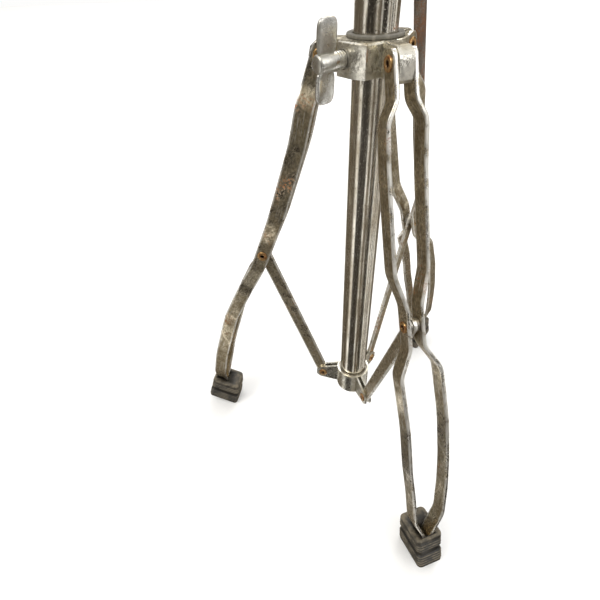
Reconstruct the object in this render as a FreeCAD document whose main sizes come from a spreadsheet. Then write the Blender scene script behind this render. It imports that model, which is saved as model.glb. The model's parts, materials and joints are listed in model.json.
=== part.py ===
"""Cymbal boom stand with a folding double-braced tripod base.

Origin: centre of the base tube's lower end. +Z runs up the tube. Legs stand at 180, -60 and 60 degrees
about the tube. All sizes are in millimetres and degrees.
"""
import FreeCAD, Part
import math
import os
from types import SimpleNamespace

import Sketcher
from FreeCAD import Placement, Rotation, Vector

DIMENSIONS = {
    # tripod linkage: braces and upper leg links have one length, and both collars one pivot radius,
    # so the upper collar stays level and on the tube while the legs fold
    "pivot_radius": 35.0,
    "link_length": 177.0,
    "leg_spread": 19.0,
    "lower_pivot_height": 12.0,
    # leg straps; u runs down the leg from the upper pivot, side is measured from the leg's middle plane
    "strap_width": 14.0,
    "strap_thickness": 3.0,
    "strap_end": 7.6,
    "side_upper_pivot": 8.2,
    "side_upper_bow": 15.0,
    "side_middle_pivot": 7.4,
    "side_lower_bow": 19.0,
    "side_taper": 15.5,
    "side_foot": 3.5,
    "along_bow_start": 21.0,
    "along_bow_full": 32.0,
    "along_bow_end": 134.0,
    "along_middle_start": 160.0,
    "along_middle_end": 194.0,
    "along_lower_full": 214.0,
    "along_lower_end": 305.0,
    "along_taper": 371.0,
    "along_foot": 401.0,
    "along_strap_end": 424.0,
    "strap_bend_radius": 7.0,
    # how far the strap's own line stands out from the straight line through the pivots
    "out_upper_bow": -3.0,
    "out_lower_bow": 13.0,
    "out_taper": 10.0,
    "out_foot": 6.0,
    "along_out_start": 60.0,
    "along_out_peak": 262.0,
    "along_out_end": 335.0,
    "strap_sweep_radius": 40.0,
    # rubber foot
    "foot_top": 395.0,
    "foot_bottom": 434.0,
    "foot_width": 27.0,
    "foot_depth": 34.0,
    "foot_heel": 6.0,
    "foot_corner": 3.5,
    "foot_ground_cut": 2.2,
    # braces
    "brace_width": 12.5,
    "brace_thickness": 3.0,
    # rivets
    "rivet_shank": 2.9,
    "rivet_hole": 2.98,
    "free_pivot_hole": 3.4,
    "rivet_bore": 1.7,
    "rivet_flange": 4.8,
    "rivet_flange_height": 1.1,
    "rivet_gap": 0.05,
    "spacer_radius": 5.5,
    # tubes
    "base_tube_radius": 14.3,
    "base_tube_wall": 1.4,
    "base_tube_length": 500.0,
    "middle_tube_radius": 11.1,
    "middle_tube_wall": 1.2,
    "middle_tube_length": 480.0,
    "middle_tube_bottom": 90.0,
    "top_tube_radius": 7.95,
    "top_tube_wall": 1.2,
    "top_tube_length": 480.0,
    "top_tube_bottom": 190.0,
    # lower collar
    "collar_radius": 18.0,
    "collar_inner_radius": 16.2,
    "sleeve_radius": 15.9,
    "collar_above": 15.0,
    "collar_below": 12.0,
    "ear_thickness": 2.0,
    "ear_gap": 3.4,
    "ear_reach": 42.5,
    # upper collar
    "hub_radius": 21.5,
    "hub_above": 9.5,
    "hub_below": 10.5,
    "hub_bore": 17.0,
    "hub_bush_inner": 14.62,
    "hub_bush_flange": 18.8,
    "hub_bush_flange_height": 2.4,
    "lug_thickness": 10.0,
    "lug_round": 8.2,
    "lug_drop": 10.5,
    "boss_reach": 27.0,
    "boss_half_width": 6.5,
    # wing bolts
    "bolt_boss_radius": 5.4,
    "bolt_boss_length": 21.0,
    "bolt_shank_radius": 3.0,
    "wing_span": 48.0,
    "wing_thickness": 3.4,
    "wing_width": 15.0,
    "wing_root": 10.0,
    "washer_thickness": 1.6,
    "washer_radius": 6.0,
    # height clamps
    "clamp_height": 34.0,
    "clamp_wall": 3.6,
    "clamp_boss_width": 13.0,
    # boom tilter
    "tilt_height": 700.0,
    "tilt_offset": 19.0,
    "tilt_face": 7.0,
    "tilt_drop": 24.0,
    "tilt_socket": 30.0,
    "tilt_disc_radius": 15.0,
    "tilt_disc_thickness": 6.0,
    "tilt_bolt_radius": 4.0,
    "tilt_eye_radius": 7.0,
    "boom_azimuth": -126.7,
    "boom_angle": 12.3,
    "boom_radius": 4.75,
    "boom_tail": 412.0,
    "boom_head": 130.0,
    # cymbal holder
    "holder_disc_radius": 9.5,
    "holder_disc_thickness": 5.0,
    "post_radius": 3.9,
    "post_length": 56.0,
    "sleeve_outer": 5.2,
    "felt_radius": 18.0,
    "felt_height": 10.0,
    "holder_post_offset": 6.6,
    "holder_block_radius": 5.8,
    "holder_block_top": 20.0,
    "holder_wing_span": 34.0,
}

LEG_AZIMUTHS = {"a": 180.0, "b": -60.0, "c": 60.0}
BOLT_AZIMUTH = -131.0
UP = Vector(0, 0, 1)


class Size:
    """A length or angle that knows its number and its spreadsheet expression."""

    def __init__(self, number, text=None):
        self.number = float(number)
        self.text = text or repr(float(number))

    def combined(self, other, sign, compute):
        other = other if isinstance(other, Size) else Size(other)
        return Size(compute(self.number, other.number), f"({self.text} {sign} {other.text})")

    def __add__(self, other):
        return self.combined(other, "+", lambda a, b: a + b)

    def __sub__(self, other):
        return self.combined(other, "-", lambda a, b: a - b)

    def __mul__(self, other):
        return self.combined(other, "*", lambda a, b: a * b)

    def __truediv__(self, other):
        return self.combined(other, "/", lambda a, b: a / b)

    def __neg__(self):
        return Size(-self.number, f"(0 - {self.text})")

    def __float__(self):
        return self.number


def make_sheet(document):
    """The driving dimensions as a spreadsheet, one alias a row."""
    sheet = document.addObject("Spreadsheet::Sheet", "Dims")
    for row, (alias, number) in enumerate(DIMENSIONS.items(), start=1):
        sheet.set(f"A{row}", alias)
        sheet.set(f"B{row}", str(number))
        sheet.setAlias(f"B{row}", alias)
    document.recompute()
    return SimpleNamespace(**{alias: Size(number, f"Dims.{alias}") for alias, number in DIMENSIONS.items()})


doc = FreeCAD.newDocument("cymbal_boom_stand")
d = make_sheet(doc)
nodes = {}


# ---------------------------------------------------------------- small helpers

def vector(x=0.0, y=0.0, z=0.0):
    return Vector(float(x), float(y), float(z))


def at(x=0.0, y=0.0, z=0.0, direction=UP):
    """A placement at a point, with its own Z along direction."""
    return Placement(vector(x, y, z), Rotation(UP, direction))


def frame(origin, x_axis, y_axis):
    """A placement at origin whose X and Y run along two perpendicular unit vectors."""
    return Placement(origin, Rotation(x_axis, y_axis, x_axis.cross(y_axis), "XYZ"))


def node(name, shape_object, placement=None):
    """Names a finished sub-part and puts it in place."""
    shape_object.Label = name
    if placement is not None:
        shape_object.Placement = placement
    nodes[name] = shape_object
    return shape_object


def bind(made, **sizes):
    """Ties an object's properties to the sheet."""
    for name, size in sizes.items():
        made.setExpression(name, size.text if isinstance(size, Size) else repr(float(size)))


def cylinder(radius, height, placement=None):
    made = doc.addObject("Part::Cylinder", "Cylinder")
    bind(made, Radius=radius, Height=height)
    made.Placement = placement or Placement()
    return made


def box(length, width, height, corner=(0.0, 0.0, 0.0)):
    made = doc.addObject("Part::Box", "Box")
    bind(made, Length=length, Width=width, Height=height)
    made.Placement = Placement(vector(*corner), Rotation())
    return made


def fuse(*shapes):
    made = doc.addObject("Part::MultiFuse", "Fuse")
    made.Shapes = list(shapes)
    made.Refine = True
    return made


def cut(base, *tools):
    made = doc.addObject("Part::Cut", "Cut")
    made.Base = base
    made.Tool = tools[0] if len(tools) == 1 else fuse(*tools)
    made.Refine = True
    return made


def common(*shapes):
    made = doc.addObject("Part::MultiCommon", "Common")
    made.Shapes = list(shapes)
    return made


def group(*shapes):
    made = doc.addObject("Part::Compound", "Group")
    made.Links = list(shapes)
    return made


def eased(base, radius, keep):
    """The base with the edges that keep(edge) picks rounded off."""
    doc.recompute()
    picked = [number for number, edge in enumerate(base.Shape.Edges, start=1) if keep(edge)]
    made = doc.addObject("Part::Fillet", "Eased")
    made.Base = base
    made.Edges = [(number, float(radius), float(radius)) for number in picked]
    return made


def tube(radius, wall, length):
    return cut(cylinder(radius, length), cylinder(radius - wall, length + 2, at(z=-1)))


def ring(outer, inner, height, z=0.0):
    return cut(cylinder(outer, height, at(z=z)), cylinder(inner, height + 2, at(z=float(z) - 1)))


def sketch(body, plane, points):
    """A closed outline of straight lines on an origin plane, every corner bound to the sheet."""
    drawn = body.newObject("Sketcher::SketchObject", "Outline")
    origin_plane = next(part for part in body.Origin.OriginFeatures if part.Role == plane)
    drawn.AttachmentSupport = [(origin_plane, "")]
    drawn.MapMode = "FlatFace"
    points = [tuple(p if isinstance(p, Size) else Size(p) for p in point) for point in points]
    count = len(points)
    for i, (x, y) in enumerate(points):
        following = points[(i + 1) % count]
        drawn.addGeometry(Part.LineSegment(vector(x, y), vector(*following)), False)
    for i in range(count):
        drawn.addConstraint(Sketcher.Constraint("Coincident", i, 2, (i + 1) % count, 1))
    for i, (x, y) in enumerate(points):
        for kind, size in (("DistanceX", x), ("DistanceY", y)):
            if abs(float(size)) < 1e-9:
                on_axis = -2 if kind == "DistanceX" else -1
                drawn.addConstraint(Sketcher.Constraint("PointOnObject", i, 1, on_axis))
                continue
            index = drawn.addConstraint(Sketcher.Constraint(kind, -1, 1, i, 1, float(size)))
            drawn.setExpression(f"Constraints[{index}]", size.text)
    return drawn


def padded(points, thickness, plane="XY_Plane"):
    """A body padded equally to both sides of an outline."""
    body = doc.addObject("PartDesign::Body", "Body")
    pad = body.newObject("PartDesign::Pad", "Pad")
    pad.Profile = sketch(body, plane, points)
    bind(pad, Length=thickness)
    pad.Midplane = True
    doc.recompute()
    return body


def revolved(points, plane="XZ_Plane"):
    """A body turned from a half outline about its own Z."""
    body = doc.addObject("PartDesign::Body", "Body")
    turned = body.newObject("PartDesign::Revolution", "Revolution")
    turned.Profile = sketch(body, plane, points)
    turned.ReferenceAxis = (turned.Profile[0], ["V_Axis"])
    turned.Angle = 360.0
    doc.recompute()
    return body


def fillet(body, radius, keep):
    """Rounds the picked edges of a body's last feature."""
    doc.recompute()
    base = body.Tip
    picked = [f"Edge{n}" for n, edge in enumerate(base.Shape.Edges, start=1) if keep(edge)]
    made = body.newObject("PartDesign::Fillet", "Fillet")
    made.Base = (base, picked)
    bind(made, Radius=radius)
    body.Tip = made
    doc.recompute()
    return body


def is_straight(edge, direction):
    if edge.Curve.TypeId != "Part::GeomLine":
        return False
    return abs(abs(edge.tangentAt(edge.FirstParameter).dot(direction)) - 1.0) < 1e-6


# ---------------------------------------------------------------- tripod geometry

def leg_frame(azimuth, tilt, origin_radius, origin_height):
    """X down and out along the link, Y sideways, Z out and up across it."""
    turn = math.radians(azimuth)
    outward = vector(math.cos(turn), math.sin(turn))
    sideways = vector(-math.sin(turn), math.cos(turn))
    lean = math.radians(tilt)
    down = outward * math.sin(lean) - UP * math.cos(lean)
    origin = outward * float(origin_radius) + UP * float(origin_height)
    return frame(origin, down, sideways)


SPREAD = math.radians(float(d.leg_spread))
LINK_RISE = float(d.link_length) * math.cos(SPREAD)
HUB_HEIGHT = float(d.lower_pivot_height) + 2 * LINK_RISE


def upper_leg_frame(azimuth):
    return leg_frame(azimuth, float(d.leg_spread), d.pivot_radius, HUB_HEIGHT)


def brace_frame(azimuth):
    """The brace's frame starts at the lower pivot and runs up and out to the leg's middle pivot."""
    return leg_frame(azimuth, 180.0 - float(d.leg_spread), d.pivot_radius, d.lower_pivot_height)


def across(x, length):
    """A placement for something lying across a link, centred on its middle plane."""
    return at(x, -float(length) / 2, 0.0, Vector(0, 1, 0))


# ---------------------------------------------------------------- tripod pieces

def strap(side):
    """One leg strap: bowed away from its twin, and swept outward below the middle pivot; side is 1 or -1."""
    stations = (
        (-d.strap_end, d.side_upper_pivot),
        (d.along_bow_start, d.side_upper_pivot),
        (d.along_bow_full, d.side_upper_bow),
        (d.along_bow_end, d.side_upper_bow),
        (d.along_middle_start, d.side_middle_pivot),
        (d.along_middle_end, d.side_middle_pivot),
        (d.along_lower_full, d.side_lower_bow),
        (d.along_lower_end, d.side_lower_bow),
        (d.along_taper, d.side_taper),
        (d.along_foot, d.side_foot),
        (d.along_strap_end, d.side_foot),
    )
    outer = [(u, v * side) for u, v in stations]
    inner = [(u, (v - d.strap_thickness) * side) for u, v in reversed(stations)]
    profile = padded(outer + inner, d.strap_width * 5)

    def is_bend(edge, face_shift):
        if not is_straight(edge, UP):
            return False
        point = edge.Vertexes[0].Point
        return any(
            abs(point.x - float(u)) < 1e-3
            and abs(point.y - side * (float(v) - face_shift)) < 1e-3
            for u, v in stations[1:-1]
        )

    fillet(profile, d.strap_bend_radius, lambda edge: is_bend(edge, 0.0) or is_bend(edge, float(d.strap_thickness)))
    return common(profile, strap_outline())


def strap_outline():
    """The strap's flat outline: a constant width swept a little inward above the middle pivot and outward below."""
    half = d.strap_width / 2
    line = (
        (-d.strap_end, 0.0),
        (d.along_bow_full, 0.0),
        (d.along_out_start, d.out_upper_bow),
        (d.along_bow_end, d.out_upper_bow),
        (d.along_middle_start, -0.8),
        (d.along_middle_end, 1.0),
        (d.along_lower_full, d.out_foot),
        (d.along_out_peak, d.out_lower_bow),
        (d.along_out_end, d.out_lower_bow),
        (d.along_taper, d.out_taper),
        (d.along_foot, d.out_foot),
        (d.along_strap_end, d.out_foot),
    )
    far = [(u, half + n) for u, n in line]
    near = [(u, -half + n) for u, n in reversed(line)]
    body = padded(far + near, d.strap_width * 5, plane="XZ_Plane")
    ends = (-float(d.strap_end), float(d.along_strap_end))

    def across_band(edge):
        return is_straight(edge, Vector(0, 1, 0))

    def at_end(edge, end):
        return abs(edge.Vertexes[0].Point.x - end) < 1e-3

    fillet(body, d.strap_sweep_radius,
           lambda edge: across_band(edge) and not any(at_end(edge, end) for end in ends))
    return fillet(body, half - 0.4, lambda edge: across_band(edge) and at_end(edge, ends[0]))


def pivot_hole(x, radius, length=60.0):
    return cylinder(radius, length, across(x, length))


def hollow_rivet(half_grip):
    """A tubular rivet across its own Z, flanged at both ends of its grip."""
    head = half_grip + d.rivet_flange_height
    return revolved([
        (d.rivet_bore, -head), (d.rivet_flange - 0.8, -head), (d.rivet_flange, -half_grip - 0.3),
        (d.rivet_flange, -half_grip), (d.rivet_shank, -half_grip), (d.rivet_shank, half_grip),
        (d.rivet_flange, half_grip), (d.rivet_flange, half_grip + 0.3), (d.rivet_flange - 0.8, head),
        (d.rivet_bore, head),
    ])


def rivet_in(placement, x, half_grip):
    """The rivet put across a link frame at x."""
    rivet = hollow_rivet(half_grip)
    rivet.Placement = placement.multiply(at(x, 0.0, 0.0, Vector(0, 1, 0)))
    return rivet


def foot():
    """A rubber block with a heel, a slot for the strap ends, and rib grooves round it."""
    half = d.foot_depth / 2
    body = padded([
        (d.foot_top, -half), (d.foot_top, half), (d.foot_bottom, half),
        (d.foot_bottom, -half - d.foot_heel), (d.foot_top + 12, -half - d.foot_heel * 0.5),
    ], d.foot_width, plane="XZ_Plane")
    return fillet(body, d.foot_corner, lambda edge: edge.Length > 8)


def leg(letter, azimuth):
    place = upper_leg_frame(azimuth)
    middle = d.link_length
    holes = (0.0, middle)
    for side_name, side in (("left", -1), ("right", 1)):
        made = cut(strap(side), *[pivot_hole(x, d.rivet_hole) for x in holes])
        node(f"leg_{letter}_strap_{side_name}", made, place)
    inner = d.side_middle_pivot - d.strap_thickness
    spacer_length = inner - d.brace_thickness / 2 - 0.12
    start = d.brace_thickness / 2 + 0.1
    spacers = []
    for side in (-1, 1):
        washer = ring(d.spacer_radius, d.rivet_hole, spacer_length)
        washer.Placement = at(middle, side * float(start), 0.0, Vector(0, side, 0))
        spacers.append(washer)
    node(f"leg_{letter}_spacers", group(*spacers), place)
    node(f"leg_{letter}_middle_rivet", rivet_in(place, middle, d.side_middle_pivot + d.rivet_gap))
    low_edge = float(d.out_foot) - float(d.strap_width) / 2
    slot = box(d.along_strap_end - d.foot_top + 10.1, d.side_foot * 2 + 0.1, d.strap_width + 0.1,
               (float(d.foot_top) - 10, -float(d.side_foot) - 0.05, low_edge - 0.05))
    slot_mouth = d.along_foot + 3.0 - d.foot_top
    mouth = box(slot_mouth, d.side_foot * 2 + 6.0, d.strap_width + 1.2,
                (float(d.foot_top), -float(d.side_foot) - 3.0, low_edge - 0.05))
    block = cut(foot(), slot, mouth)
    ground = box(200, 200, 60)
    ground.Placement = place.inverse().multiply(ground_placement(place))
    node(f"leg_{letter}_foot", cut(block, ground), place)


def ground_placement(place):
    """A box top on the floor plane, under one leg's foot."""
    foot_point = place.multVec(vector(d.foot_bottom))
    return Placement(Vector(foot_point.x - 100, foot_point.y - 100, FLOOR - 60), Rotation())


def lowest_foot_point():
    heel = -float(d.foot_depth) / 2 - float(d.foot_heel)
    return HUB_HEIGHT - float(d.foot_bottom) * math.cos(SPREAD) + heel * math.sin(SPREAD)


FLOOR = lowest_foot_point() + float(d.foot_ground_cut)


def brace(letter, azimuth, far_hole):
    half = d.brace_width / 2
    length = d.link_length
    body = padded([
        (-half, -half), (length + half, -half), (length + half, half), (-half, half),
    ], d.brace_thickness, plane="XZ_Plane")
    fillet(body, half - 0.2, lambda edge: is_straight(edge, Vector(0, 1, 0)))
    made = cut(body, pivot_hole(0.0, d.rivet_hole), pivot_hole(length, far_hole))
    node(f"brace_{letter}", made, brace_frame(azimuth))


def lower_collar():
    """A thin steel ring with three pairs of ears, and a sleeve between it and the tube."""
    height = d.collar_above + d.collar_below
    bottom = float(d.lower_pivot_height) - float(d.collar_below)
    shell = ring(d.collar_radius, d.collar_inner_radius, height, bottom)
    ears = []
    reach = float(d.ear_reach)
    pivot = float(d.pivot_radius)
    for azimuth in LEG_AZIMUTHS.values():
        for side in (-1, 1):
            ear = padded([
                (float(d.collar_inner_radius), -d.collar_below + 0.5), (pivot - 2, -8.5),
                (pivot + 3.5, -7.5), (Size(reach), -3.5), (Size(reach), 3.5),
                (pivot + 3.0, 8.5), (float(d.collar_inner_radius), d.collar_above - 0.3),
            ], d.ear_thickness, plane="XZ_Plane")
            offset = float(d.ear_gap + d.ear_thickness) / 2 * side
            turn = math.radians(azimuth)
            sideways = vector(-math.sin(turn), math.cos(turn)) * offset
            ear.Placement = Placement(sideways + UP * float(d.lower_pivot_height), Rotation(UP, azimuth))
            ears.append(ear)
    holes = [cylinder(d.rivet_hole, 30, brace_frame(azimuth).multiply(across(0.0, 30)))
             for azimuth in LEG_AZIMUTHS.values()]
    bore = cylinder(d.collar_inner_radius, height + 2, at(z=bottom - 1))
    node("lower_collar", cut(fuse(shell, *ears), *holes, bore))
    sleeve = ring(d.sleeve_radius + 0.25, d.base_tube_radius, height - 1.5, bottom)
    node("lower_collar_sleeve", sleeve)
    grip = d.ear_gap / 2 + d.ear_thickness + d.rivet_gap
    node("lower_rivets", group(*[rivet_in(brace_frame(azimuth), 0.0, grip) for azimuth in LEG_AZIMUTHS.values()]))


def hub():
    """The die-cast upper collar: a ring, three lugs for the legs and a boss for the wing bolt."""
    top = float(d.hub_above)
    bottom = -float(d.hub_below)
    height = d.hub_above + d.hub_below
    parts = [cylinder(d.hub_radius, height, at(z=bottom))]
    lug_half = d.lug_thickness / 2
    for azimuth in LEG_AZIMUTHS.values():
        lug = padded([
            (float(d.hub_bore), Size(top)), (d.pivot_radius + 1.5, Size(top)), (d.pivot_radius + d.lug_round - 1.2, 5.0),
            (d.pivot_radius + d.lug_round, 0.0), (d.pivot_radius + d.lug_round, -d.lug_drop + 2.5),
            (d.pivot_radius + d.lug_round - 2.5, -d.lug_drop), (float(d.hub_bore), Size(bottom)),
        ], lug_half * 2, plane="XZ_Plane")
        lug.Placement = Placement(Vector(), Rotation(UP, azimuth))
        parts.append(lug)
    web = padded([
        (d.boss_reach, -d.boss_half_width), (d.boss_reach, d.boss_half_width), (24.0, 16.5), (0.0, 20.0),
        (0.0, -20.0), (19.0, -12.5),
    ], height)
    web.Placement = Placement(vector(z=(top + bottom) / 2), Rotation(UP, BOLT_AZIMUTH))
    parts.append(web)
    body = fuse(*parts)
    rounded = eased(body, 1.6, lambda edge: edge.BoundBox.ZLength < 0.01 and abs(edge.BoundBox.ZMax - top) < 0.01)
    holes = [cylinder(d.rivet_hole, 30, Placement(Vector(), Rotation(UP, azimuth)).multiply(
        at(d.pivot_radius, -15, 0, Vector(0, 1, 0)))) for azimuth in LEG_AZIMUTHS.values()]
    bolt_way = cylinder(d.bolt_shank_radius + 0.05, 40, Placement(Vector(), Rotation(UP, BOLT_AZIMUTH)).multiply(
        at(0, 0, 0, Vector(1, 0, 0))))
    bore = cylinder(d.hub_bore, height + 2, at(z=bottom - 1))
    node("hub", cut(rounded, *holes, bolt_way, bore), at(z=HUB_HEIGHT))
    bush = fuse(
        ring(d.hub_bore, d.hub_bush_inner, height, bottom),
        ring(d.hub_bush_flange, d.hub_bush_inner, d.hub_bush_flange_height, top),
    )
    node("hub_bushing", eased(bush, 0.9, lambda edge: edge.BoundBox.ZMin > top + 1 and edge.Length > 100),
         at(z=HUB_HEIGHT))
    grip = d.side_upper_pivot + d.rivet_gap
    rivets = [rivet_in(upper_leg_frame(azimuth), 0.0, grip) for azimuth in LEG_AZIMUTHS.values()]
    node("hub_rivets", group(*rivets))


# ---------------------------------------------------------------- wing bolts and clamps

def wing_bolt(shank_length, span=d.wing_span):
    """A wing bolt along its own +X: shank behind, washer seat at 0, boss and wings in front."""
    start = d.washer_thickness
    end = start + d.bolt_boss_length
    turned = revolved([
        (0.0, -shank_length), (d.bolt_shank_radius - 0.6, -shank_length), (d.bolt_shank_radius, -shank_length + 0.6),
        (d.bolt_shank_radius, start), (d.bolt_boss_radius, start), (d.bolt_boss_radius, end - 1.0),
        (d.bolt_boss_radius - 1.0, end), (0.0, end),
    ])
    turned.Placement = at(direction=Vector(1, 0, 0))
    half = span / 2
    root = end - d.wing_root
    tip = end - d.wing_width
    wings = padded([
        (end - 0.4, -half + 5), (end - 0.4, half - 5), (end - 3, half), (tip + 4, half), (tip, half - 6),
        (root, 6.5), (root, -6.5), (tip, -half + 6), (tip + 4, -half), (end - 3, -half),
    ], d.wing_thickness, plane="XZ_Plane")
    fillet(wings, 2.4, lambda edge: is_straight(edge, Vector(0, 1, 0)) and abs(edge.Vertexes[0].Point.z) > 10)
    return fuse(turned, wings)


def add_washer(name, place):
    """The spring washer that sits behind a wing bolt's boss, in the bolt's own frame."""
    made = ring(d.washer_radius, d.bolt_shank_radius + 0.05, d.washer_thickness - 0.05)
    node(name, made, place.multiply(at(0.02, 0, 0, Vector(1, 0, 0))))


def radial(azimuth, radius, height, roll=0.0):
    """A placement on the stand's axis with X pointing out at azimuth, rolled about that X."""
    turn = math.radians(azimuth)
    outward = vector(math.cos(turn), math.sin(turn))
    rolled = Rotation(UP, azimuth).multiply(Rotation(Vector(1, 0, 0), roll))
    return Placement(outward * float(radius) + UP * float(height), rolled)


def add_wing_bolt(name, reach, azimuth, height, shank_length, roll=0.0):
    place = radial(azimuth, reach, height, roll)
    node(f"{name}_wing_bolt", wing_bolt(shank_length), place)
    add_washer(f"{name}_washer", place)


def clamp(name, bore, bush_inner, azimuth, top, overlap, roll):
    """A height clamp: cast collar on the outer tube's top, split bushing with a flange, wing bolt."""
    outer = bore + d.clamp_wall
    height = d.clamp_height
    bottom = float(top) - float(overlap)
    reach = outer + 4.0
    body = cylinder(outer, height, at(z=bottom))
    width = float(d.clamp_boss_width)
    boss = box(reach, d.clamp_boss_width, height - 12, (0, -width / 2, bottom + 8))
    boss.Placement = radial(azimuth, 0, bottom + 8).multiply(Placement(Vector(0, -width / 2, 0), Rotation()))
    joined = eased(fuse(body, boss), 1.5, lambda edge: edge.BoundBox.ZLength < 0.01
                   and (edge.BoundBox.ZMax > bottom + float(height) - 0.01 or edge.BoundBox.ZMax < bottom + 0.01))
    tube_seat = cylinder(bore, overlap, at(z=bottom))
    way = cylinder(bush_inner + 2.2, height + 2, at(z=bottom - 1))
    bolt_height = bottom + float(height) - 11
    bolt_way = cylinder(d.bolt_shank_radius + 0.05, 60, at(0, 0, bolt_height, radial(azimuth, 1, 0).Base))
    node(f"{name}_clamp", cut(joined, tube_seat, way, bolt_way))
    flange = 1.8
    bush = fuse(
        ring(bush_inner + 2.15, bush_inner, height - overlap, float(top)),
        ring(outer - 1.2, bush_inner, flange, bottom + float(height)),
    )
    node(f"{name}_bushing", bush)
    shank = float(reach) - float(bush_inner) - 2.3
    add_wing_bolt(name, float(reach), azimuth, bolt_height, Size(shank), roll)


def tubes():
    node("base_tube", tube(d.base_tube_radius, d.base_tube_wall, d.base_tube_length))
    node("middle_tube", tube(d.middle_tube_radius, d.middle_tube_wall, d.middle_tube_length), at(z=d.middle_tube_bottom))
    node("top_tube", tube(d.top_tube_radius, d.top_tube_wall, d.top_tube_length), at(z=d.top_tube_bottom))


# ---------------------------------------------------------------- boom tilter and boom

def tilt_frame():
    """X along the tilt axis, Y the way the boom's upper end leans, Z up; its origin on the tube's axis."""
    turn = math.radians(float(d.boom_azimuth))
    outward = vector(math.cos(turn), math.sin(turn))
    sideways = outward.cross(UP)
    return frame(UP * float(d.tilt_height), sideways, outward)


def along_x(x):
    return at(x, 0, 0, Vector(1, 0, 0))


def serrated(radius, thickness, x, teeth, depth):
    """A disc along X with radial teeth on its +X face."""
    disc = cylinder(radius, thickness, along_x(x))
    notches = []
    for i in range(teeth):
        turn = Rotation(Vector(1, 0, 0), i * 360.0 / teeth)
        corner = turn.multVec(Vector(0, -0.5, float(radius) * 0.55))
        notch = box(depth, 1.0, radius)
        notch.Placement = Placement(Vector(float(x) + float(thickness) - depth, 0, 0) + corner, turn)
        notches.append(notch)
    return cut(disc, *notches)


def wing_nut(bore):
    """A wing nut along its own +X, its seat at 0, open right through."""
    length = 12.0
    turned = revolved([
        (bore, 0.0), (7.2, 0.0), (7.2, 2.0), (5.6, length - 1.2), (4.6, length), (bore, length),
    ])
    turned.Placement = along_x(0.0)
    wings = []
    for side in (-1, 1):
        wing = padded([
            (2.0, side * 4.5), (14.0, side * 13.0), (20.0, side * 15.5), (20.0, side * 22.0), (11.0, side * 21.5),
            (2.5, side * 10.0),
        ], 3.2, plane="XZ_Plane")
        fillet(wing, 2.2, lambda edge: is_straight(edge, Vector(0, 1, 0)) and abs(edge.Vertexes[0].Point.z) > 12.5)
        wings.append(wing)
    return cut(fuse(turned, *wings), cylinder(bore, 40.0, along_x(-10.0)))


def rod_placement():
    """The boom's own frame in the tilt frame: Z up along the rod, origin where it crosses the tilt axis."""
    return Placement(vector(d.tilt_offset), Rotation(Vector(1, 0, 0), -float(d.boom_angle)))


def tilter():
    """The boom tilter: a toothed base on the top tube, a toothed head, and an eye bolt that grips the rod."""
    place = tilt_frame()
    socket_top = -d.tilt_drop
    socket_bottom = float(socket_top) - float(d.tilt_socket)
    face = float(d.tilt_face)
    socket = cylinder(d.top_tube_radius + 3.4, d.tilt_socket, at(z=socket_bottom))
    shoulder = cylinder(d.top_tube_radius + 1.4, 5.0, at(z=socket_top))
    neck = box(9.0, 16.0, d.tilt_drop + 4.0, (face - 11.0, -8.0, float(socket_top) - 4.0))
    back = cylinder(9.5, 3.0, along_x(face - 11.0))
    plate = serrated(d.tilt_disc_radius, d.tilt_disc_thickness + 2, face - 8.0, 24, 0.9)
    seat = cylinder(d.top_tube_radius, d.tilt_socket - 6.0, at(z=socket_bottom))
    bolt_hole = cylinder(d.tilt_bolt_radius + 0.05, 60.0, along_x(-30.0))
    node("tilter_base", cut(fuse(socket, shoulder, neck, back, plate), seat, bolt_hole), place)

    head_plate = cylinder(d.tilt_disc_radius, d.tilt_disc_thickness - 1.5, along_x(face + 0.3))
    barrel = cylinder(d.tilt_eye_radius + 4.0, d.tilt_offset + 12.0 - face, along_x(face + 0.3))
    barrel_bore = cylinder(d.tilt_eye_radius + 0.05, 60.0, along_x(face + 3.0))
    rod_way = cylinder(d.boom_radius + 0.06, 80.0)
    rod_way.Placement = rod_placement().multiply(at(z=-40))
    solid_head = eased(fuse(head_plate, barrel), 1.2, lambda edge: edge.BoundBox.XLength < 0.01
                       and edge.BoundBox.XMax > float(d.tilt_offset) + 10)
    node("tilter_head", cut(solid_head, barrel_bore, rod_way, bolt_hole), place)

    eye_start = face + 3.1
    eye = cylinder(d.tilt_eye_radius, d.tilt_offset + 11.0 - eye_start, along_x(eye_start))
    shank_end = face - 11.0 - d.washer_thickness.number - 16.0
    shank = cylinder(d.tilt_bolt_radius, eye_start - shank_end + 1.0, along_x(shank_end))
    rod_way_again = cylinder(d.boom_radius + 0.03, 80.0)
    rod_way_again.Placement = rod_placement().multiply(at(z=-40))
    node("tilter_eye_bolt", cut(fuse(eye, shank), rod_way_again), place)

    nut_seat = face - 11.0 - float(d.washer_thickness)
    turned_back = Placement(Vector(nut_seat, 0, 0), Rotation(UP, 180).multiply(Rotation(Vector(1, 0, 0), 35)))
    node("tilter_wing_nut", wing_nut(d.tilt_bolt_radius + 0.05), place.multiply(turned_back))
    nut_washer = ring(8.5, d.tilt_bolt_radius + 0.05, d.washer_thickness - 0.05)
    node("tilter_washer", nut_washer, place.multiply(along_x(nut_seat + 0.02)))


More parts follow.
